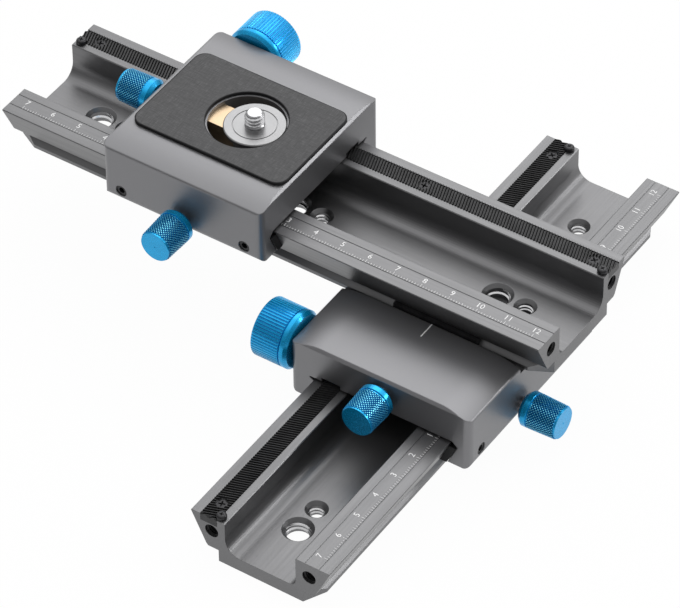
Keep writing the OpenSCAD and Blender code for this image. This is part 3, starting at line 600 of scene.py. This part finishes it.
def dress_nodes():
    """Finishes on the nodes that are shown as they are."""
    for node, finish in NODE_FINISHES.items():
        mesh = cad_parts[node].data
        mesh.materials.clear()
        mesh.materials.append(FINISHES[finish])


# Knobs
def knurl_point(k, z, r, columns):
    """Point on a column of a knurl, at a height and a radius."""
    return polar(r, FULL_TURN * k / columns, z)


def knurl(shape, z0, z1, r0, r1):
    """Raised diamonds between two heights. Returns the first and last rings, at the grooves' depth."""
    columns = 2 * KNURL_COUNT
    rows = round((z1 - z0) / (FULL_TURN * r0 / columns))
    height = (z1 - z0) / rows
    low = {}

    def radius(z):
        return r0 + (r1 - r0) * (z - z0) / (z1 - z0)

    for j in range(rows + 1):
        z = z0 + j * height
        for k in range(columns):
            if (j + k) % 2 == 0 or j in (0, rows):
                low[k, j] = len(shape.points)
                shape.points.append(knurl_point(k, z, radius(z) - KNURL_DEPTH, columns))
    for j in range(rows + 1):
        for k in range(columns):
            if (j + k) % 2 == 0:
                continue
            left, right = low[(k - 1) % columns, j], low[(k + 1) % columns, j]
            if j in (0, rows):
                beyond = low[k, 1 if j == 0 else rows - 1]
                shape.face((left, low[k, j], beyond))
                shape.face((low[k, j], right, beyond))
                continue
            ring = (left, low[k, j - 1], right, low[k, j + 1])
            z = z0 + j * height
            steps = ((-1, 0), (0, -1), (1, 0), (0, 1))
            top = [len(shape.points) + i for i in range(4)]
            for dk, dj in steps:
                at = z + dj * height * KNURL_TOP_SHARE
                shape.points.append(knurl_point(k + dk * KNURL_TOP_SHARE, at, radius(at), columns))
            # Tops take the lighter blue: painted highlight
            shape.face(top, CREST_HIGHLIGHT_MARK)
            # Sides take the darker blue: painted shade
            for i in range(4):
                n = (i + 1) % 4
                shape.face((ring[i], ring[n], top[n], top[i]), VALLEY_SHADE_MARK)
    return [low[k, 0] for k in range(columns)], [low[k, rows] for k in range(columns)]


def small_knob(name, direction, body):
    """Knob with a coned root, a smooth collar and a diamond knurl."""
    place, length, radius = outward_place(name, direction)
    columns = 2 * KNURL_COUNT
    shape = Shape()
    start = COLLAR_L + COLLAR_GROOVE
    groove_r = radius - KNURL_DEPTH - ROOT_STEP
    root = shape.loft(turned([
        (KNOB_BORE_R * BORE_TIP_SHARE, KNOB_BORE_L), (KNOB_BORE_R, KNOB_BORE_L), (KNOB_BORE_R, 0),
        (radius * ROOT_SHARE, 0), (radius - ROOT_STEP, ROOT_L - COLLAR_EDGE), (radius, ROOT_L + ROOT_EDGE),
        (radius, COLLAR_L - COLLAR_EDGE), (radius - COLLAR_EDGE, COLLAR_L),
        (groove_r, COLLAR_L), (groove_r, start)], columns), caps=False)
    shape.face(reversed(root[0]))
    end_r = radius - END_TAPER
    first, last = knurl(shape, start, length - END_BEVEL, radius, end_r)
    shape.bridge(root[-1], first)
    tip = shape.loft(turned([
        (end_r - END_BEVEL, length - TIP_EDGE_H), (end_r - END_BEVEL - TIP_EDGE_R, length),
        (DIMPLE_R, length), (DIMPLE_R * DIMPLE_FLOOR_SHARE, length - DIMPLE_D)], columns), caps=False)
    shape.bridge(last, tip[0])
    shape.face(tip[-1])
    knob = make_piece(name + "_knurled", shape, place, body,
                      [FINISHES["blue"], FINISHES["crest"], FINISHES["valley_painted_shade"]], KNURL_SHARP)
    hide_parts(name)


def flute_samples():
    """Turns and depths of the points round a fluted knob."""
    samples = []
    for k in range(FLUTES):
        samples.append((k, 0.0))
        for i in range(2 * FLUTE_STEPS + 1):
            across = -1 + i / FLUTE_STEPS
            depth = math.sqrt(max(0.0, 1 - across * across))
            samples.append((k + 0.5 + across * FLUTE_HALF_SHARE, depth))
    return [(FULL_TURN * t / FLUTES, depth) for t, depth in samples]


def focus_knob(name, direction, body):
    """Large knob: bevelled smooth band, groove, and straight round flutes."""
    place, length, radius = outward_place(name, direction)
    samples = flute_samples()

    def ring(r, z, flute=0.0):
        return [polar(r - flute * depth, angle, z) for angle, depth in samples]

    start = FOCUS_BAND + FOCUS_GROOVE
    waist = radius - 2 * FLUTE_D
    shape = Shape()
    shape.loft([
        ring(FOCUS_BORE_R, FOCUS_BORE_L), ring(FOCUS_BORE_R, 0), ring(radius - FOCUS_BEVEL, 0),
        ring(radius - FOCUS_EDGE_R, FOCUS_BEVEL - FOCUS_EDGE_H), ring(radius, FOCUS_BEVEL + FOCUS_EDGE_H),
        ring(radius, FOCUS_BAND - FLUTE_EDGE), ring(radius - FLUTE_EDGE, FOCUS_BAND),
        ring(waist, FOCUS_BAND), ring(waist, start),
        ring(radius - FLUTE_EDGE, start, FLUTE_D - FLUTE_EDGE), ring(radius, start + FLUTE_EDGE, FLUTE_D)] + [
        ring(radius - inward, length - back, max(0, FLUTE_D - inward)) for inward, back in FOCUS_END])
    # Faces deep in the flutes take the darker blue: painted shade
    for row in FLUTED_ROWS:
        for i, (_, depth) in enumerate(samples):
            if min(depth, samples[(i + 1) % len(samples)][1]) > FLUTE_SHADE_FROM:
                shape.marks[row * len(samples) + i] = 1
    knob = make_piece(name + "_fluted", shape, place, body,
                      [FINISHES["blue"], FINISHES["valley_painted_shade"]], FLUTE_SHARP)
    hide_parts(name)


# Screws
def cross_angles():
    """Angles round a cross recess, with its corners among them."""
    corner = math.atan(CROSS_HALF_SHARE / CROSS_REACH_SHARE)
    eighth = math.pi / 4
    half = [0, corner, (corner + eighth) / 2]
    quarter = half + [eighth] + [2 * eighth - a for a in reversed(half[1:])]
    return [q * 2 * eighth + a for q in range(4) for a in quarter]


def cross_reach(angle):
    """Share of the head's radius at which the cross recess ends, at an angle."""
    a = angle % (math.pi / 2)
    a = min(a, math.pi / 2 - a)
    if a <= math.atan(CROSS_HALF_SHARE / CROSS_REACH_SHARE) + TINY:
        return CROSS_REACH_SHARE / math.cos(a)
    return CROSS_HALF_SHARE / math.sin(a)


def cross_screw(shape, centre, profile, turn, depth):
    """Screw whose top has a cross recess. profile runs from the tip to the head's rim; turn is in degrees."""
    angles = cross_angles()
    spin = math.radians(turn)
    head_r, top = profile[-1]

    def ring(radii, z):
        return [centre + polar(r, a + spin, z) for r, a in zip(radii, angles)]

    rings = [ring([r] * len(angles), z) for r, z in profile]
    outline = [head_r * cross_reach(a) for a in angles]
    rings.append(ring([max(r, head_r * CROSS_LIP_SHARE) for r in outline], top + CROSS_LIP))
    rings.append(ring(outline, top + CROSS_LIP))
    rings.append(ring([r * CROSS_FLOOR_SHARE for r in outline], top - depth))
    shape.loft(rings)


def rack_screws(slide):
    """Countersunk screws along the rack."""
    low, high = slide.box("rack_screws")
    first, last = low.x + COUNTERSINK_R, high.x - COUNTERSINK_R
    middle_y = (low.y + high.y) / 2
    head = COUNTERSINK_R - RACK_SHANK_R
    shape = Shape()
    for i in range(RACK_SCREWS):
        x = first + (last - first) * i / (RACK_SCREWS - 1)
        profile = [(RACK_SHANK_R, low.z - high.z), (RACK_SHANK_R, -head), (COUNTERSINK_R, -RIM_LOW),
                   (COUNTERSINK_R - RIM_EDGE, -RIM_HIGH)]
        base = Vector((x, middle_y, high.z - CROSS_LIP))
        cross_screw(shape, base, profile, RACK_TURN + RACK_TURN_STEP * i, RACK_CROSS_D)
    name = slide.name + "_rack_screws"
    piece = make_piece(name + "_crossed", shape, slide.place, slide.rail_body,
                       [FINISHES["screws"]])
    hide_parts(name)


def stop_screws(slide):
    """Round-headed screws at the rail's ends."""
    low, high = slide.box("stop_screws")
    middle_y = (low.y + high.y) / 2
    shape = Shape()
    rim = STOP_HEAD_H / 2
    for i, x in enumerate((low.x + STOP_HEAD_R, high.x - STOP_HEAD_R)):
        dome = [(STOP_HEAD_R - rim + rim * math.cos(a), rim + rim * math.sin(a) * DOME_SHARE)
                for a in (math.radians(d) for d in range(0, DOME_END + 1, DOME_STEP))]
        profile = [(STOP_SHANK_R, low.z - high.z + STOP_HEAD_H), (STOP_SHANK_R, 0),
                   (STOP_HEAD_R - RIM_EDGE, 0), (STOP_HEAD_R, RIM_EDGE)] + dome
        base = Vector((x, middle_y, high.z - STOP_HEAD_H))
        cross_screw(shape, base, profile, STOP_TURN + STOP_TURN_STEP * i, STOP_CROSS_D)
    name = slide.name + "_stop_screws"
    piece = make_piece(name + "_crossed", shape, slide.place, slide.rail_body,
                       [FINISHES["screws"]])
    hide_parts(name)


# Threads inside the bores
def ridge(shape, centre, axis, radius, pitch, start, end, mark=0, share=RIDGE_SHARE):
    """Helical ridge on the wall of a bore, between two distances along its axis."""
    turn = axis.to_track_quat("Z", "Y").to_matrix()
    turns = (end - start) / pitch - 2 * share
    count = round(turns * RIDGE_STEPS)
    rings = []
    for s in range(count + 1):
        angle = FULL_TURN * s / RIDGE_STEPS
        z = start + pitch * (share + s / RIDGE_STEPS)
        fade = min(1, s / (RIDGE_STEPS * RIDGE_FADE), (count - s) / (RIDGE_STEPS * RIDGE_FADE))
        depth = pitch * (RIDGE_END + share * fade)
        profile = ((radius + RIDGE_SINK, -share * pitch), (radius - depth, -RIDGE_CREST * pitch),
                   (radius - depth, RIDGE_CREST * pitch), (radius + RIDGE_SINK, share * pitch))
        rings.append([centre + turn @ polar(r, angle, z + dz) for r, dz in profile])
    shape.loft(rings, mark)


def rail_threads(slide):
    """Ridges of the large and small tripod threads and of the bores in the rail's ends."""
    rail_low, rail_high = slide.box("rail")
    shape = Shape()
    top = FLOOR_T - MOUTH_BEVEL
    for i in (-1, 0, 1):
        for shift, radius, pitch in ((0, BIG_R, BIG_THREAD), (SMALL_SHIFT, SMALL_R, SMALL_THREAD)):
            ridge(shape, Vector((i * BIG_PITCH + shift, 0, 0)), UP, radius, pitch, THREAD_START, top)
    for x, way in ((rail_low.x, 1), (rail_high.x, -1)):
        for side in (-1, 1):
            centre = Vector((x, side * END_BORE_Y, END_BORE_Z))
            inward = Vector((way, 0, 0))
            # End-bore ridges take the near-black finish: painted shade in the deep bores
            ridge(shape, centre, inward, END_BORE_R, END_THREAD, END_THREAD_START, END_THREAD_L, 1, END_SHARE)
    make_piece(slide.name + "_threads", shape, slide.place, slide.rail_body,
               [FINISHES["thread"], FINISHES["bore"]])


# Scale and marks
def slab(shape, x0, x1, y0, y1, z):
    """Thin painted bar on a flat face."""
    low = shape.ring([Vector((x0, y0, z)), Vector((x1, y0, z)), Vector((x1, y1, z)), Vector((x0, y1, z))])
    high = shape.ring([shape.points[i] + UP * PAINT_T for i in low])
    shape.face(reversed(low))
    shape.bridge(low, high)
    shape.face(high)


def digit_mesh(text):
    """Thin solid of a number, from the plain built-in letters, one unit high to start with."""
    curve = bpy.data.curves.new("number_" + text, "FONT")
    curve.body = text
    curve.align_x = "CENTER"
    curve.resolution_u = DIGIT_STEPS
    curve.extrude = DIGIT_EXTRUDE
    holder = add_object("number_" + text, curve)
    bpy.context.view_layer.update()
    mesh = bpy.data.meshes.new_from_object(holder.evaluated_get(bpy.context.evaluated_depsgraph_get()))
    bpy.data.objects.remove(holder)
    bpy.data.curves.remove(curve)
    return mesh


def scale_marks(slide):
    """Millimetre ticks and centimetre numbers between the rail's fine grooves."""
    top = slide.box("rail")[1].z
    shape = Shape()
    for s in range(round(SCALE_LOW / MM), round(SCALE_HIGH / MM) + 1):
        x = SCALE_ZERO + s * MM
        reach = TICK_LONG if s % 10 == 0 else TICK_HALF if s % 5 == 0 else TICK_SHORT
        slab(shape, x - TICK_W / 2, x + TICK_W / 2, TICK_BASE, TICK_BASE + reach, top)
    for k in range(round(SCALE_LOW / CM), round(SCALE_HIGH / CM) + 1):
        mesh = digit_mesh(str(abs(k)))
        height = max(v.co.y for v in mesh.vertices)
        size = DIGIT_H / height
        base = len(shape.points)
        for v in mesh.vertices:
            z = top + (PAINT_T if v.co.z > 0 else 0)
            shape.points.append(Vector((SCALE_ZERO + k * CM + v.co.x * size, DIGIT_Y + v.co.y * size, z)))
        for p in mesh.polygons:
            shape.face([base + i for i in p.vertices])
        bpy.data.meshes.remove(mesh)
    make_piece(slide.name + "_scale", shape, slide.place, slide.rail_body, [FINISHES["paint"]])


def carriage_marks(slide):
    """Index line on the lower carriage's top."""
    top = slide.box("carriage")[1].z
    shape = Shape()
    slab(shape, INDEX_X0, INDEX_X1, INDEX_Y - INDEX_W / 2, INDEX_Y + INDEX_W / 2, top)
    make_piece(slide.name + "_index_marks", shape, slide.place, slide.carriage_body,
               [FINISHES["paint"]])


# Pad and camera screw
def rounded_outline(low, high, r):
    """Points of a rectangle with round corners."""
    corners = (
        (high.x - r, low.y + r, -90), (high.x - r, high.y - r, 0),
        (low.x + r, high.y - r, 90), (low.x + r, low.y + r, 180))
    return [Vector((x, y, 0)) + polar(r, math.radians(a + 90 * i / CORNER_STEPS))
            for x, y, a in corners for i in range(CORNER_STEPS + 1)]


def reach(outline, centre, angle):
    """Distance from centre to an outline, along an angle."""
    ray = polar(1, angle)
    best = 0.0
    for a, b in zip(outline, outline[1:] + outline[:1]):
        side = b - a
        cross = ray.x * side.y - ray.y * side.x
        if abs(cross) < TINY:
            continue
        to = a - centre
        along = (to.x * side.y - to.y * side.x) / cross
        share = (to.x * ray.y - to.y * ray.x) / cross
        if along > 0 and -TINY <= share <= 1 + TINY:
            best = max(best, along)
    return best


def pad():
    """Pad with a woven face, and black sides and bands round its outline and its hole: painted shade of its
    edges.
    """
    low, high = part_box("support_pad")
    centre = Vector((PAD_HOLE_X, (low.y + high.y) / 2, 0))
    outline = rounded_outline(low, high, PAD_CORNER)
    angles = [FULL_TURN * i / PAD_STEPS for i in range(PAD_STEPS)]
    far = [reach(outline, centre, a) for a in angles]

    def ring(share, inset, z):
        """Ring between the hole, share 0, and the outline, share 1."""
        return [centre + polar(PAD_HOLE_R + (f - PAD_HOLE_R) * share + inset, a, z)
                for f, a in zip(far, angles)]

    shape = Shape()
    edge = [shape.ring(r) for r in (
        ring(0, 0, low.z), ring(0, 0, high.z - PAD_EDGE), ring(0, PAD_EDGE_MID, high.z - PAD_EDGE_MID),
        ring(0, PAD_HOLE_BAND, high.z))]
    face = [shape.ring(ring(i / PAD_RINGS, 0, high.z)) for i in range(1, PAD_RINGS)]
    rim = [shape.ring(r) for r in (
        ring(1, -PAD_RIM_BAND, high.z), ring(1, -PAD_EDGE_MID, high.z - PAD_EDGE_MID),
        ring(1, 0, high.z - PAD_EDGE), ring(1, 0, low.z))]
    rings = edge + face + rim
    # Mark 1 faces, the hole's wall and the outer edge with thin bands on top, take the black painted shade
    for i, (a, b) in enumerate(zip(rings, rings[1:])):
        shape.bridge(a, b, 0 if len(edge) - 1 <= i < len(edge) + len(face) else 1)
    shape.bridge(rim[-1], edge[0], 1)
    piece = make_piece("pad_woven", shape, Matrix.Identity(4), "upper_carriage",
                       [FINISHES["pad"], FINISHES["rubber"]], PAD_SHARP)
    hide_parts("support_pad")


def camera_screw():
    """Camera screw with a cut thread on its stud and a slot under its head."""
    low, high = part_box("camera_screw")
    centre = (low + high) / 2
    angles = [FULL_TURN * i / SCREW_STEPS for i in range(SCREW_STEPS)]
    top = high.z - low.z
    base = top - SCREW_H

    def slot_reach(angle):
        return min(SCREW_HEAD_R - SLOT_MARGIN, SLOT_W / 2 / max(TINY, abs(math.sin(angle))))

    def thread_r(angle, z):
        phase = (z / SMALL_THREAD - angle / FULL_TURN) % 1
        crest = 1 - min(1, max(0, (abs(phase - 0.5) - CREST_HALF) / FLANK))
        limit = SCREW_R - max(0, z - (top - SCREW_BEVEL)) * SCREW_BEVEL_SLOPE
        fade = min(1, max(0, (z - base - SCREW_PLAIN) / (RUN_IN * SMALL_THREAD)))
        cut = SCREW_R - (SCREW_R - SCREW_ROOT_R) * (1 - crest) * fade
        return min(cut, limit)

    rings = [[polar(slot_reach(a) * SLOT_TAPER, a, SLOT_D) for a in angles],
             [polar(slot_reach(a), a, 0) for a in angles]]
    rings += turned([
        (SCREW_HEAD_R - SCREW_EDGE, 0), (SCREW_HEAD_R, SCREW_EDGE),
        (SCREW_HEAD_R, SCREW_HEAD_L - SCREW_EDGE), (SCREW_HEAD_R - SCREW_EDGE, SCREW_HEAD_L),
        (SCREW_SHANK_R, SCREW_HEAD_L), (SCREW_SHANK_R, base), (SCREW_R, base)], SCREW_STEPS)
    for i in range(1, SCREW_LAYERS + 1):
        z = base + SCREW_H * i / SCREW_LAYERS
        rings.append([polar(thread_r(a, z), a, z) for a in angles])
    shape = Shape()
    shape.loft(rings)
    place = Matrix.Translation(Vector((centre.x, centre.y, low.z)))
    piece = make_piece("camera_screw_threaded", shape, place, "plate",
                       [FINISHES["steel"]], SCREW_SHARP)
    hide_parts("camera_screw")


# Stage, light and camera
def stage_floor():
    """Plain pale floor that the rail stands on."""
    corners = [(x * FLOOR_HALF, y * FLOOR_HALF, 0) for x, y in ((-1, -1), (1, -1), (1, 1), (-1, 1))]
    mesh = bpy.data.meshes.new("floor")
    mesh.from_pydata(corners, [], [(0, 1, 2, 3)])
    finish = Finish("pale_floor", 0.0, 0.1)
    finish.shader.inputs["Base Color"].default_value = (FLOOR_GREY, FLOOR_GREY, FLOOR_GREY, 1)
    finish.shader.inputs["Roughness"].default_value = 0.9
    white = finish.node("ShaderNodeEmission", Color=(1, 1, 1, 1), Strength=1.0)
    ray = finish.node("ShaderNodeLightPath").outputs
    seen = finish.maths("MAXIMUM", ray["Is Camera Ray"], ray["Is Glossy Ray"])
    seen = finish.maths("MAXIMUM", seen, ray["Is Transmission Ray"])
    mix = finish.node("ShaderNodeMixShader", Fac=finish.maths("MULTIPLY", seen, FLOOR_WHITE))
    finish.put(mix.inputs[1], finish.shader.outputs["BSDF"])
    finish.put(mix.inputs[2], white.outputs["Emission"])
    finish.put(finish.tree.nodes["Material Output"].inputs["Surface"], mix.outputs["Shader"])
    mesh.materials.append(finish.material)
    floor = add_object("floor", mesh)


def soft_light(name, place, size, power):
    """Square lamp that shines at the rail."""
    lamp = bpy.data.lights.new(name, "AREA")
    lamp.shape = "SQUARE"
    lamp.size = size
    lamp.energy = power
    obj = add_object(name, lamp)
    obj.location = place
    obj.rotation_mode = "QUATERNION"
    obj.rotation_quaternion = (Vector(LAMP_TARGET) - Vector(place)).to_track_quat("-Z", "Y")


def studio_world():
    """Surroundings that are pale above and behind, and darker in front, as in a studio tent."""
    world = bpy.data.worlds.new("studio")
    world.use_nodes = True
    nodes, links = world.node_tree.nodes, world.node_tree.links
    coordinates = nodes.new("ShaderNodeTexCoord")
    toward = nodes.new("ShaderNodeVectorMath")
    toward.operation = "DOT_PRODUCT"
    toward.inputs[1].default_value = Vector(BRIGHT_SIDE).normalized()
    ramp = nodes.new("ShaderNodeValToRGB")
    links.new(coordinates.outputs["Generated"], toward.inputs[0])
    links.new(toward.outputs["Value"], ramp.inputs["Fac"])
    links.new(ramp.outputs["Color"], nodes["Background"].inputs["Color"])
    fill_ramp(ramp, [(place, (share, share, share)) for place, share in SKY])
    nodes["Background"].inputs["Strength"].default_value = SKY_STRENGTH
    bpy.context.scene.world = world


def place_camera():
    """Camera at the photograph's angle."""
    data = bpy.data.cameras.new("camera")
    data.sensor_width = SENSOR_W
    data.lens = FOCAL_PX / FRAME_W * SENSOR_W
    data.clip_start = CLIP_NEAR
    data.clip_end = CLIP_FAR
    camera = add_object("camera", data)
    right = CAMERA_LOOK.cross(CAMERA_UP).normalized()
    up = right.cross(CAMERA_LOOK).normalized()
    turn = Matrix((right, up, -CAMERA_LOOK.normalized())).transposed().to_4x4()
    camera.matrix_world = Matrix.Translation(CAMERA_PLACE) @ turn
    bpy.context.scene.camera = camera


dress_nodes()
lower = Slide("lower", 90, "root", "lower_carriage")
upper = Slide("upper", 0, "upper_rail", "upper_carriage")
for slide in (lower, upper):
    rack_screws(slide)
    stop_screws(slide)
    rail_threads(slide)
    scale_marks(slide)
carriage_marks(lower)
small_knob("lower_lock_knob", (1, 0, 0), "lower_lock")
small_knob("upper_lock_knob", (0, -1, 0), "upper_lock")
small_knob("jaw_knob", (0, -1, 0), "jaw_drive")
small_knob("plate_clamp_knob", (-1, 0, 0), "plate_drive")
focus_knob("lower_focus_knob", (-1, 0, 0), "lower_focus")
focus_knob("upper_focus_knob", (0, 1, 0), "upper_focus")
pad()
camera_screw()

stage_floor()
studio_world()
for lamp in LAMPS:
    soft_light(*lamp)
place_camera()
bpy.context.scene.view_settings.view_transform = "Standard"
